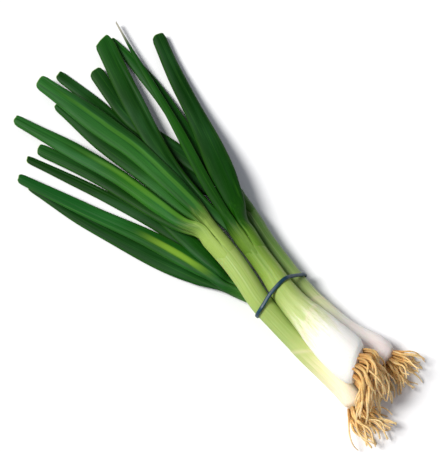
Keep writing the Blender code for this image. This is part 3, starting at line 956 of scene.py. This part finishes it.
# ---------------------------------------------------------------------------- roots
@dataclass
class Tuft:
    """Roots of one onion: mean heading, spread sideways and up, length, droop and number.

    `disc` is the radius that they grow from and `radius` the range of their own radii, in mm.
    """

    onion: str
    heading: tuple[float, float, float]
    spread: tuple[float, float]
    length: float
    droop: float
    count: int
    seed: int
    finish: RootFinish
    disc: float = 5.0
    radius: tuple[float, float] = (0.52, 0.98)
    HIGH = 38.0
    HIGH_EASE, FLOOR_EASE = 1.2, 0.7
    STEPS = 34
    SIDES = 9

    def plate(self, first: np.ndarray, away: np.ndarray, radius: float) -> Skin:
        """Knobbly disc that the roots grow from: a dome with bumps, closed behind."""
        t = np.linspace(0.0, 1.0, 16)[:, None]
        turn = np.linspace(0.0, 2 * np.pi, 36, endpoint=False)[None, :]
        bumps = 1 + 0.07 * ripple(5 * turn, 6 * t, self.seed)
        reach = 0.55 * radius * np.sin(np.pi * (0.12 + 0.80 * t)) ** 0.6 * bumps
        forward = -0.25 * radius + (1.2 + 0.3 * radius) * smoothstep(t)
        side = unit(np.cross([0.0, 0.0, 1.0], away))
        up = np.cross(away, side)
        points = (first + away * forward[..., None] + side * (reach * np.cos(turn))[..., None]
                  + up * (reach * np.sin(turn))[..., None])
        straight = np.stack([reach * np.cos(turn), reach * np.sin(turn), forward + 0 * turn], axis=-1)
        return Skin(points, {"straight": straight, "part": np.zeros_like(reach)})

    def strands(self, first: np.ndarray, away: np.ndarray, radius: float) -> list[Skin]:
        """The roots, each a tapering, wandering tube.

        A root starts on the plate, further back towards its rim by the square of the distance
        from the middle. It sets off square to the plate, opened out by the place it starts
        from, and bends to the tuft's heading; each step also turns it by slow sines and by a
        pull down that grows along it. Its height is then kept above the surface by a soft
        maximum and under the bunch's top by a soft minimum.
        """
        rng = np.random.default_rng(self.seed)
        number = np.arange(self.count)
        turn = GOLDEN_ANGLE * number + rng.uniform(-0.3, 0.3, self.count)
        out = np.sqrt((number + 0.5) / self.count)
        fan = np.stack([np.cos(turn), np.sin(turn)], axis=1) * out[:, None]
        heading = unit(np.array(self.heading))
        side = unit(np.cross([0.0, 0.0, 1.0], heading))
        up = np.cross(heading, side)
        flank = unit(np.cross([0.0, 0.0, 1.0], away))
        rise = np.cross(away, flank)
        spoke = flank * fan[:, :1] + rise * fan[:, 1:]
        start = first + spoke * radius
        start = start + away * (1.2 - 0.36 * radius * out[:, None] ** 2)
        way = unit(heading + side * fan[:, :1] * self.spread[0] + up * fan[:, 1:] * self.spread[1])
        length = self.length * rng.uniform(0.62, 1.0, self.count)
        t = np.linspace(0.0, 1.0, self.STEPS)[None, :]
        phase = rng.uniform(0, 2 * np.pi, (4, self.count, 1))
        pace = rng.uniform(3.5, 9.5, (4, self.count, 1))
        amount = rng.uniform(0.15, 0.75, (4, self.count, 1)) * smoothstep(t / 0.45)
        lean = (side * (amount[0] * np.sin(pace[0] * t + phase[0]))[..., None]
                + up * (amount[1] * np.sin(pace[1] * t + phase[1]))[..., None])
        down = np.array([0.0, 0.0, -1.0]) * (2 * self.droop / self.length * t)[..., None]
        leave = unit(away + spoke * 0.55)
        turned = smoothstep(t / 0.42)[..., None]
        way = leave[:, None] * (1 - turned) + way[:, None] * turned
        step = unit(way + lean + down) * (length[:, None] / (self.STEPS - 1))[..., None]
        path = start[:, None] + np.cumsum(step, axis=1) - step[:, :1]
        thick = rng.uniform(*self.radius, (self.count, 1)) * (1 - 0.5 * t**1.5)
        thick = thick * (1 + 0.07 * np.sin(26 * t + phase[2]))
        floor = thick + 0.12
        low, high = self.FLOOR_EASE, self.HIGH_EASE
        path[..., 2] = floor + low * np.logaddexp(0.0, (path[..., 2] - floor) / low)
        path[..., 2] = self.HIGH - high * np.logaddexp(0.0, (self.HIGH - path[..., 2]) / high)
        blunt = np.sqrt(np.clip(1 - ((t - 0.965) / 0.035).clip(0, 1) ** 2, 0.02, 1))
        ring = np.linspace(0.0, 2 * np.pi, self.SIDES, endpoint=False)
        skins = []
        for index, (line, size) in enumerate(zip(path, thick * blunt)):
            across, above = frames(line, sideways(line))
            a, b = size[:, None] * np.cos(ring), size[:, None] * np.sin(ring)
            points = line[:, None] + across[:, None] * a[..., None] + above[:, None] * b[..., None]
            along = np.tile(run_of(line)[:, None], (1, self.SIDES))
            straight = np.stack([a + 9.0 * index, b, along + 31.0 * index], axis=-1)
            part = np.tile(t.T, (1, self.SIDES))
            skins.append(Skin(points, {"straight": straight, "part": part}))
        return skins

    def build(self, stem: Stem) -> None:
        """Makes the piece that stands for the tuft's node."""
        first, second = (np.array(row[:3], float) for row in stem.stations[:2])
        away = unit(first - second) + np.array([0.0, *stem.tilt])
        away, radius = unit(away), self.disc
        skins = [self.plate(first, away, radius), *self.strands(first, away, radius)]
        node = f"onion_{self.onion}_roots"
        install(make_piece(f"{node}_tuft", skins, self.finish.build()), node)


# ---------------------------------------------------------------------------- band
@dataclass
class Band:
    """Rubber band: the shortest loop round the stems, of a rounded flat section.

    `drift` moves it along the bunch by (place across the bunch, distance) in mm.
    """

    finish: RubberFinish
    x: float = -2.6
    slant: float = 0.05
    width: float = 2.2
    depth: float = 1.5
    lift: float = 0.15
    drift: tuple[tuple[float, float], ...] = (
        (-24.0, 3.6), (-17.0, 2.4), (-8.0, 0.0), (3.0, -1.8), (11.0, -1.2), (21.0, 0.4))

    def loop(self, stems: Iterable[Stem]) -> np.ndarray:
        """Plan of the loop as (y, z) points.

        For each direction the stem that reaches furthest touches the band, so the loop is
        the union of arcs round those stems and of straight runs between them.
        """
        rounds = []
        for stem in stems:
            row = stem.axis[np.argmin(np.abs(stem.axis[:, 0] - (self.x + self.slant * stem.axis[:, 1])))]
            rounds.append((row[1], row[2], row[3] + self.lift + self.depth / 2))
        rounds = np.array(rounds)
        turn = np.linspace(0.0, 2 * np.pi, 1440, endpoint=False)
        outwards = np.stack([np.cos(turn), np.sin(turn)], axis=1)
        touched = rounds[np.argmax(rounds[:, :2] @ outwards.T + rounds[:, 2:], axis=0)]
        loop = touched[:, :2] + outwards * touched[:, 2:]
        closed = np.vstack([loop, loop[:1]])
        travelled = run_of(closed)
        even = np.linspace(0.0, travelled[-1], 300, endpoint=False)
        return np.stack([np.interp(even, travelled, closed[:, k]) for k in (0, 1)], axis=1)

    def skin(self, stems: Iterable[Stem]) -> Skin:
        """The band's surface: a rounded rectangle carried round the loop with a slight roll."""
        loop = self.loop(stems)
        count = len(loop)
        for _ in range(6):
            loop = 0.25 * np.roll(loop, 1, axis=0) + 0.5 * loop + 0.25 * np.roll(loop, -1, axis=0)
        turn = np.linspace(0.0, 2 * np.pi, count, endpoint=False)
        wander = 0.22 * np.sin(2 * turn + 0.6) + 0.12 * np.sin(5 * turn)
        drift = spline(self.drift, 200)
        wander = wander + drift[np.argmin(np.abs(drift[None, :, 0] - loop[:, :1]), axis=1), 1]
        centre = np.column_stack([self.x + self.slant * loop[:, 0] + wander, loop])
        along = unit(np.roll(centre, -1, axis=0) - np.roll(centre, 1, axis=0))
        flat = np.tile([1.0, 0.0, 0.0], (count, 1))
        flat = unit(flat - along * np.sum(flat * along, axis=1, keepdims=True))
        out = np.cross(along, flat)
        ring = np.linspace(0.0, 2 * np.pi, 28, endpoint=False)
        a = self.width / 2 * np.sign(np.cos(ring)) * np.abs(np.cos(ring)) ** 0.6
        b = self.depth / 2 * np.sign(np.sin(ring)) * np.abs(np.sin(ring)) ** 0.6
        roll = 0.16 * np.sin(3 * turn + 0.4)[:, None]
        a, b = a * np.cos(roll) - b * np.sin(roll), a * np.sin(roll) + b * np.cos(roll)
        points = centre[:, None] + flat[:, None] * a[..., None] + out[:, None] * b[..., None]
        along_run = np.tile(run_of(centre)[:, None], (1, len(ring)))
        return Skin(points, {"straight": np.stack([a, b, along_run], axis=-1)}, ring=True)

    def build(self, stems: Iterable[Stem]) -> None:
        """Makes the piece that stands for the band's node."""
        piece = make_piece("rubber_band_loop", [self.skin(stems)], self.finish.build())
        install(piece, "rubber_band")


# ---------------------------------------------------------------------------- the bunch
WHITE = srgb(250, 247, 240)

STEM_LOOKS: dict[str, StemFinish] = {
    "a": StemFinish("stem_a_pale_green", (
        (0, srgb(244, 232, 208)), (14, srgb(238, 230, 198)), (29, srgb(222, 220, 166)),
        (42, srgb(190, 202, 126)), (58, srgb(164, 186, 104)), (86, srgb(158, 182, 92)),
        (118, srgb(158, 182, 94)), (138, srgb(134, 166, 76)))),
    "b": StemFinish("stem_b_round_bulb", (
        (0, WHITE), (24, WHITE), (36, srgb(232, 234, 196)), (46, srgb(192, 206, 136)),
        (58, srgb(164, 184, 100)), (76, srgb(138, 166, 66)), (94, srgb(104, 140, 42)),
        (112, srgb(84, 124, 36)))),
    "c": StemFinish("stem_c_blushed_bulb", (
        (0, srgb(250, 242, 238)), (30, srgb(250, 246, 238)), (50, srgb(224, 228, 178)),
        (66, srgb(160, 180, 108)), (88, srgb(108, 142, 66)), (112, srgb(70, 110, 42)),
        (140, srgb(44, 88, 26))),
        blush_strength=0.30),
    "d": StemFinish("stem_d_slim", (
        (0, WHITE), (20, srgb(246, 246, 224)), (36, srgb(206, 220, 146)),
        (58, srgb(150, 182, 86)), (72, srgb(132, 172, 74)))),
}


DEEPEN = (0.21, 0.44, 0.17, 1.0)            # leaf tints are given as seen in full light
LEAF_BASES: dict[str, tuple[tuple[int, int, int], tuple[float, float]]] = {
    "a": ((154, 178, 88), (-4.0, 24.0)),
    "b": ((92, 130, 38), (-5.0, 7.0)),
    "b2": ((96, 128, 44), (-6.0, 10.0)),
    "c": ((50, 90, 26), (-12.0, 10.0)),
    "d": ((40, 92, 30), (-6.0, 10.0)),
}


def leaf_look(name: str, *stops: tuple[float, int, int, int], bloom: float = 0.14, rough: float = 0.47,
              **ridge: object) -> LeafFinish:
    """Leaf finish from (place along the leaf, red, green, blue) stops; its base follows its stem."""
    base, fade = LEAF_BASES[name] if name in LEAF_BASES else LEAF_BASES[name[0]]
    deep = tuple((place, tuple(part * share for part, share in zip(srgb(*tint), DEEPEN)))
                 for place, *tint in stops)
    return LeafFinish(f"leaf_{name}", deep, srgb(*base), fade, bloom_strength=bloom, rough=rough, **ridge)


def make_stems() -> dict[str, Stem]:
    """The four bulbs with their stems, sizes in mm.

    Returns:
        Stems by onion.
    """
    return {
        "a": Stem("a", (
            (75, -13.4, 7.6, 3.8), (71.5, -12.4, 8.0, 6.0), (62, -10.9, 8.2, 7.0),
            (47, -11.2, 8.4, 7.2), (33, -12.4, 9.6, 6.9), (18, -13.3, 12.2, 6.6),
            (8, -13.9, 15.0, 6.3), (-6, -14.3, 18.8, 6.2), (-21, -11.9, 20.4, 6.3),
            (-36, -9.9, 20.8, 6.6), (-52, -8.9, 20.4, 6.9),
        ), STEM_LOOKS["a"], ((44, 6, 200),), (-3.0, 1.0, 60), 3, 0.6),
        "b": Stem("b", (
            (63.2, 0.2, 28.0, 4.4), (61.4, -0.2, 27.5, 9.0), (56.4, -1.0, 26.9, 12.0),
            (44, -1.9, 26.4, 12.2), (30, -1.8, 25.4, 10.8), (18, -1.7, 24.0, 9.2),
            (8, -1.3, 22.4, 8.1), (-4, 0.3, 20.6, 7.0), (-15, 2.3, 20.2, 6.2),
            (-28, 4.0, 20.4, 6.0), (-41, 6.0, 20.8, 6.6),
        ), STEM_LOOKS["b"], ((40, 4, 30),), (-3.0, 1.0, 190), 7, 0.8, (0.34, 0.0)),
        "c": Stem("c", (
            (68, 20.4, 8.4, 4.0), (65.5, 19.7, 8.8, 7.2), (59.5, 17.9, 9.2, 8.8),
            (50, 15.2, 9.0, 8.3), (38, 12.6, 8.8, 7.2), (20, 11.3, 9.0, 6.5),
            (0, 11.6, 9.6, 6.1), (-30, 14.8, 9.6, 6.1), (-46, 18.0, 9.2, 6.2),
            (-62, 20.6, 8.6, 6.3),
        ), STEM_LOOKS["c"], ((50, 7, 90),), (-3.0, 1.0, 0), 11),
        "d": Stem("d", (
            (46, 0.2, 5.0, 2.6), (44, 0.2, 5.0, 4.1), (38, 0.1, 5.1, 4.7),
            (28, 0.1, 5.4, 4.6), (15, -2.2, 6.6, 4.6), (0, -7.8, 7.7, 4.7),
            (-22, -16.2, 7.2, 5.4),
        ), STEM_LOOKS["d"], ((30, 4, 120),), (-2.6, 0.8, 90), 15),
    }


def make_leaves() -> list[Leaf]:
    """The leaves in the order in which they are laid, sizes in mm.

    Returns:
        Leaves, lowest first.
    """
    return [
        Leaf("c_leaf_4", "c", (-3.3, -2.4), (5.4, 4.4),
             ((-85, 12), (-115, 6.5), (-145, 2.5), (-174, 0.4), (-204, -4.1)), (9.5, 9, 7), 3.6, 60,
             leaf_look("c4", (0.0, 60, 106, 30), (0.4, 38, 82, 30), (1.0, 44, 92, 36)), seed=1),
        Leaf("c_leaf_3", "c", (3.3, -2.4), (5.4, 4.4),
             ((-85, 20), (-115, 15.5), (-150, 9.4), (-190, 14.4)), (10, 10, 9.5), 3.6, 60,
             leaf_look("c3", (0.0, 56, 102, 28), (0.4, 36, 80, 28), (1.0, 44, 90, 40)), seed=2),
        Leaf("c_leaf_2", "c", (-3.1, 2.6), (5.8, 4.6),
             ((-85, 22.5), (-115, 27.5), (-150, 34), (-180, 36.6), (-200, 36.4)), (10, 9, 5.5), 3.8, 80,
             leaf_look("c2", (0.0, 70, 112, 36), (0.35, 50, 98, 44), (0.75, 48, 104, 48),
                       (1.0, 62, 124, 56)), seed=3),
        Leaf("c_leaf_1", "c", (3.1, 2.6), (5.8, 4.6),
             ((-85, 31), (-110, 39), (-132, 46)), (9, 8, 6), 3.8, 80,
             leaf_look("c1", (0.0, 60, 106, 34), (0.5, 54, 96, 46), (1.0, 70, 104, 60)), seed=4),
        Leaf("d_leaf_4", "d", (2.6, -2.2), (4.6, 3.8),
             ((-45, -17.5), (-80, -22.5), (-120, -34.8), (-150, -46), (-172.7, -55)), (8, 7, 5), 3.2, 50,
             leaf_look("d4", (0.0, 50, 104, 34), (0.25, 44, 92, 30), (1.0, 34, 80, 30)), seed=5),
        Leaf("d_leaf_3", "d", (-3.0, -2.2), (4.6, 3.8),
             ((-45, -29.5), (-80, -43), (-120, -55.8), (-158, -65.6)), (10, 8, 5), 3.6, 50,
             leaf_look("d3", (0.0, 40, 92, 34), (0.22, 44, 100, 40), (0.5, 44, 92, 46),
                       (1.0, 40, 88, 44)), seed=6),
        # d_leaf_2: the brighter yellow-green ramp stop at 0.22 and the pale ridge line are a painted
        # highlight
        Leaf("d_leaf_2", "d", (-2.8, 2.3), (5.0, 4.0),
             ((-45, -24), (-80, -33.6), (-120, -49.8), (-165, -67.4)), (11.5, 9, 6.5), 3.6, 70,
             leaf_look("d2", (0.0, 40, 96, 30), (0.10, 46, 104, 32), (0.22, 62, 122, 44),
                       (0.38, 46, 108, 36), (0.6, 60, 130, 76), (1.0, 52, 120, 70),
                       ridge=(0.0, 2.4, 0.9, 0.0), ridge_from=(0.08, 0.24, 0.30, 0.50),
                       ridge_tint=srgb(120, 160, 44), seed=7), crease=(-0.25, 0.3), seed=7),
        Leaf("d_leaf_1", "d", (2.8, 2.3), (5.0, 4.0),
             ((-45, -18), (-70, -18.4), (-110, -20), (-155, -27)), (10, 8, 5), 3.6, 90,
             leaf_look("d1", (0.0, 44, 100, 34), (0.25, 48, 104, 34), (1.0, 40, 86, 34)), seed=8),
        Leaf("a_leaf_4", "a", (-3.4, -3.0), (6.0, 5.0),
             ((-80, -19.5), (-134, -31.5), (-172.7, -45.7)), (9, 9, 8), 3.6, 110,
             leaf_look("a4", (0.0, 120, 166, 66), (0.2, 60, 108, 36), (0.6, 40, 86, 34),
                       (1.0, 62, 116, 64)), seed=9),
        Leaf("a_leaf_3", "a", (3.4, -3.0), (6.0, 5.0),
             ((-80, -6.6), (-110, -8.7), (-145, -14), (-188, -19.1)), (12.5, 10.5, 5), 4.2, 110,
             leaf_look("a3", (0.0, 110, 160, 64), (0.15, 78, 134, 48), (0.35, 94, 146, 84),
                       (0.5, 62, 112, 56), (0.7, 38, 88, 36), (1.0, 62, 116, 60)), seed=10),
        Leaf("b_leaf_3", "b", (-3.2, -2.8), (5.6, 5.0),
             ((-74, 1.5), (-114, 6), (-156, 17), (-203.9, 32.1)), (9, 13.5, 12.5), 4.2, 120,
             leaf_look("b3", (0.0, 70, 118, 30), (0.3, 38, 84, 24), (0.7, 40, 84, 32), (1.0, 62, 118, 56)),
             crease=(0.42, 0.9), cut=(3.2, 7.0, 0.5), seed=11),
        Leaf("b_leaf_1", "b", (3.2, 0.4), (6.0, 9.4),
             ((-64, 17.3), (-107, 34.2), (-153, 49.3), (-181.8, 59.9)), (15.5, 11, 9), 5.5, 120,
             leaf_look("b1", (0.0, 66, 116, 26), (0.15, 40, 92, 18), (0.4, 34, 82, 26), (0.7, 28, 74, 22),
                       (1.0, 38, 86, 36), bloom=0.10), crease=(0.1, 0.3), shoulder=3.0, seed=12),
        Leaf("b_leaf_2", "b", (-3.1, 3.4), (5.6, 5.0),
             ((-81, 11.8), (-129, 26.5), (-178, 38.8), (-206, 46)), (6.8, 4.5, 0.9), 3.0, 130,
             leaf_look("b2", (0.0, 62, 106, 36), (0.2, 52, 98, 32), (0.5, 58, 114, 34), (0.8, 46, 100, 44),
                       (1.0, 70, 112, 64)), crease=(0.0, 0.2), cut=(0.0, 0.2, 0.0), dry_from=0.88, seed=13),
        # a_leaf_2: its ridge setting paints a highlight line along the leaf with painted shade on one side
        Leaf("a_leaf_2", "a", (-3.5, 3.0), (6.2, 5.6),
             ((-76, -17), (-120, -22.8), (-150, -30), (-167, -34.8), (-196.8, -44.2)), (9.5, 11, 7), 4.6, 130,
             leaf_look("a2", (0.0, 118, 164, 66), (0.08, 62, 116, 46), (0.22, 80, 140, 60),
                       (0.36, 92, 148, 62), (0.6, 62, 116, 58), (0.8, 74, 130, 76),
                       (1.0, 82, 138, 84), bloom=0.22,
                       ridge=(1.8, 2.0, 0.46, 0.5), ridge_from=(0.0, 0.1, 0.45, 0.8), seed=14), seed=14),
        # a_leaf_1: its ridge setting paints a highlight line along the leaf with painted shade on one side
        Leaf("a_leaf_1", "a", (3.5, 3.0), (6.2, 5.6),
             ((-78, -3.8), (-125, -4), (-150, -7.2), (-175, -11), (-206.4, -16.8)),
             (12.5, 15.5, 10), 5.0, 140,
             leaf_look("a1", (0.0, 116, 164, 62), (0.08, 58, 112, 32), (0.2, 64, 120, 50), (0.4, 88, 144, 80),
                       (0.6, 84, 138, 82), (0.8, 76, 132, 82), (1.0, 86, 144, 90), bloom=0.26,
                       ridge=(1.4, 1.7, 0.26, 0.55), ridge_from=(0.02, 0.12, 0.75, 1.0), seed=15),
             crease=(0.35, 0.5), shoulder=1.6, seed=15),
    ]


def make_tufts() -> list[Tuft]:
    """The four tufts of roots.

    Returns:
        Tufts.
    """
    look = RootFinish("dry_roots")
    return [
        Tuft("a", (1.0, 0.06, -0.02), (0.46, 0.50), 29.0, 9.0, 34, 3, look, 5.2),
        Tuft("b", (1.0, -0.46, -0.1), (0.50, 0.50), 37.0, 38.0, 70, 5, look, 10.0),
        Tuft("c", (1.0, 0.08, 0.05), (0.80, 0.60), 25.0, 9.0, 40, 8, look, 6.2),
        Tuft("d", (1.0, 0.00, -0.04), (0.24, 0.30), 20.0, 4.0, 14, 13, look, 3.6),
    ]


@dataclass
class Bunch:
    """The whole bunch: stems, leaves laid one over another, roots and the band."""

    stems: dict[str, Stem]
    leaves: list[Leaf]
    tufts: list[Tuft]
    band: Band

    def build(self) -> None:
        """Lays the leaves over the lower stems and over each other, then makes every piece."""
        pile = Pile()
        for onion in ("c", "d"):
            axis = self.stems[onion].axis
            pile.add(axis[:, :2], sideways(axis), 2 * axis[:, 3], 2 * axis[:, 3], axis[:, 2])
        for leaf in self.leaves:
            leaf.lay(self.stems[leaf.onion], pile)
            leaf.build()
        for stem in self.stems.values():
            stem.build()
        for tuft in self.tufts:
            tuft.build(self.stems[tuft.onion])
        self.band.build(self.stems.values())


# ---------------------------------------------------------------------------- studio
@dataclass
class Studio:
    """Pale surface, soft light from high on one side, and the camera. Lengths in metres."""

    floor_size: float = 6.0
    key_from: tuple[float, float, float] = (-0.60, -0.64, 1.22)
    key_energy: float = 3.45
    sky_tint: Colour = (0.84, 0.87, 1.0, 1.0)
    sky_strength: float = 0.27
    look_at: tuple[float, float, float] = (-0.00570, 0.00609, 0.0079)
    azimuth: float = 48.0
    elevation: float = 70.0
    distance: float = 0.850
    lens: float = 112.8

    def floor(self) -> None:
        """Lays the surface: a grid of points at Z = 0."""
        half, count = self.floor_size / 2, 9
        x, y = np.meshgrid(np.linspace(-half, half, count), np.linspace(-half, half, count), indexing="ij")
        points = np.stack([x, y, 0 * x], axis=-1).reshape(-1, 3)
        i, j = np.meshgrid(np.arange(count - 1), np.arange(count - 1), indexing="ij")
        first = (i * count + j).ravel()
        faces = np.stack([first, first + count, first + count + 1, first + 1], axis=1)
        mesh = bpy.data.meshes.new("surface")
        mesh.from_pydata(points.tolist(), [], faces.tolist())
        mesh.materials.append(SurfaceFinish().build())
        surface = bpy.data.objects.new("surface", mesh)
        bpy.context.scene.collection.objects.link(surface)

    def lamp(self, light: bpy.types.Light, place: Vector) -> None:
        """Hangs a light at `place`, turned to face the bunch."""
        lamp = bpy.data.objects.new(light.name, light)
        lamp.matrix_world = Matrix.Translation(place) @ place.to_track_quat("Z", "Y").to_matrix().to_4x4()
        bpy.context.scene.collection.objects.link(lamp)

    def light(self) -> None:
        """Broad key light that falls evenly, a weak fill from the other side and a pale sky."""
        key = bpy.data.lights.new("key_light", "SUN")
        key.energy, key.angle, key.color = self.key_energy, math.radians(22), (1.0, 0.99, 0.97)
        self.lamp(key, Vector(self.key_from).normalized() * 2.0)
        fill = bpy.data.lights.new("fill_light", "AREA")
        fill.shape, fill.size, fill.energy, fill.color = "SQUARE", 1.6, 1.5, (0.95, 0.97, 1.0)
        self.lamp(fill, Vector((0.8, 0.9, 1.4)))
        world = bpy.data.worlds.new("pale_sky")
        world.use_nodes = True
        sky = world.node_tree.nodes["Background"]
        sky.inputs["Color"].default_value = self.sky_tint
        sky.inputs["Strength"].default_value = self.sky_strength
        bpy.context.scene.world = world

    def camera(self) -> None:
        """Camera above the bunch, turned round and up by the two angles."""
        around, up = math.radians(self.azimuth), math.radians(self.elevation)
        back = Vector((math.sin(around) * math.cos(up), -math.cos(around) * math.cos(up), math.sin(up)))
        data = bpy.data.cameras.new("camera")
        data.lens, data.sensor_width, data.sensor_fit = self.lens, 36.0, "AUTO"
        data.clip_end = 20.0
        camera = bpy.data.objects.new("camera", data)
        turn = back.to_track_quat("Z", "Y").to_matrix().to_4x4()
        camera.matrix_world = Matrix.Translation(Vector(self.look_at) + back * self.distance) @ turn
        bpy.context.scene.collection.objects.link(camera)
        bpy.context.scene.camera = camera

    def build(self) -> None:
        """Sets the stage; colours are shown as they are, with no film curve."""
        self.floor()
        self.light()
        self.camera()
        view = bpy.context.scene.view_settings
        view.view_transform, view.look = "Standard", "None"


def main() -> None:
    """Builds the bunch and its studio."""
    logging.basicConfig(level=logging.INFO, format="%(name)s: %(message)s")
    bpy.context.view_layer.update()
    Studio().build()
    Bunch(make_stems(), make_leaves(), make_tufts(), Band(RubberFinish("dark_rubber"))).build()


if __name__ == "__main__":
    main()
